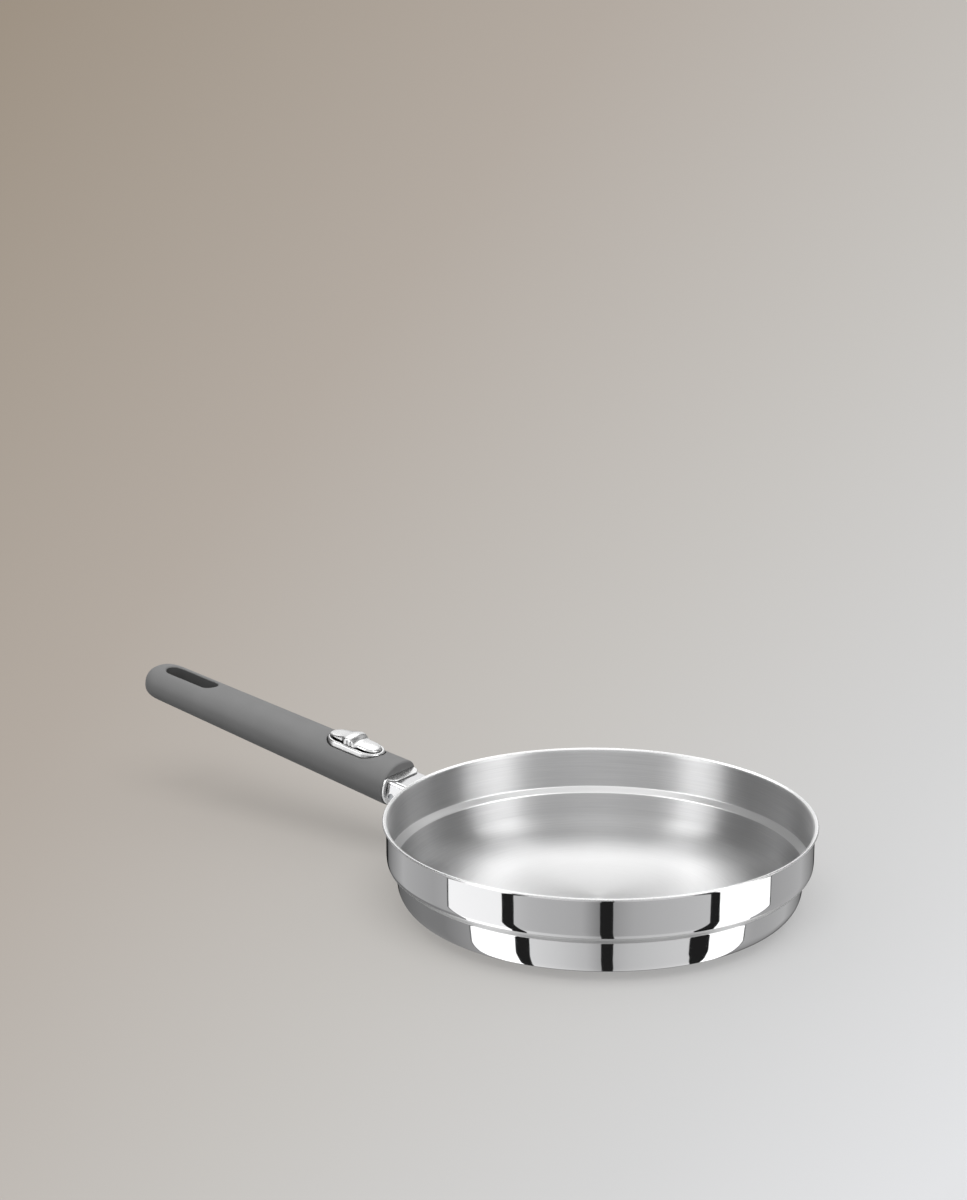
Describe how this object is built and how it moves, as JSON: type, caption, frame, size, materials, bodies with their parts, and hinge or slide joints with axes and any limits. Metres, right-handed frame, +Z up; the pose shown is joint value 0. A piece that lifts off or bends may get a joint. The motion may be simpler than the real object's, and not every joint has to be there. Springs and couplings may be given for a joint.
{
  "type": "frying pan",
  "caption": "Round frying pan with a stepped straight wall for stacking, a flared pouring rim and a soft-grip handle that locks on a bracket and slides off when its thumb latch is pulled.",
  "frame": {"origin": "centre of the base's resting face, on the pan's axis", "axes": "+Z up along the pan's axis, -X towards the handle, +Y across it"},
  "size_m": [0.465, 0.2468, 0.0831],
  "materials": {
    "polished_steel": "mirror polished outside, satin brushed inside",
    "satin_steel": "satin",
    "bright_steel": "polished",
    "plain_steel": "plain",
    "spring_steel": "plain",
    "aluminium": "plain",
    "chromed_zinc": "soft polished",
    "dark_plastic": "matt",
    "grey_silicone": "matt"
  },
  "bodies": {
    "pan": {"pan_shell": "polished_steel", "heat_spreader": "aluminium", "base_cap": "satin_steel", "bracket": "bright_steel", "cross_pin": "plain_steel"},
    "handle": {"ferrule": "bright_steel", "ferrule_pins": "plain_steel", "guide": "plain_steel", "core_upper": "dark_plastic", "core_lower": "dark_plastic", "core_screws": "plain_steel", "sleeve": "grey_silicone", "bezel": "chromed_zinc", "bezel_screws": "plain_steel", "spring_rod": "plain_steel", "catch_leaf": "spring_steel", "leaf_rivets": "plain_steel"},
    "latch": {"slider": "chromed_zinc", "carriage": "plain_steel", "slider_screws": "plain_steel", "return_spring": "spring_steel"}
  },
  "joints": [
    {"name": "handle_off", "type": "slide", "parent": "pan", "child": "handle", "axis": [-0.9877, 0, 0.1564], "range_m": [0, 0.042]},
    {"name": "latch_slide", "type": "slide", "parent": "handle", "child": "latch", "axis": [-0.9877, 0, 0.1564], "range_m": [0, 0.008], "stiffness_N_per_m": 400, "springref_m": -0.004, "deforming": ["return_spring", "catch_leaf"]}
  ]
}
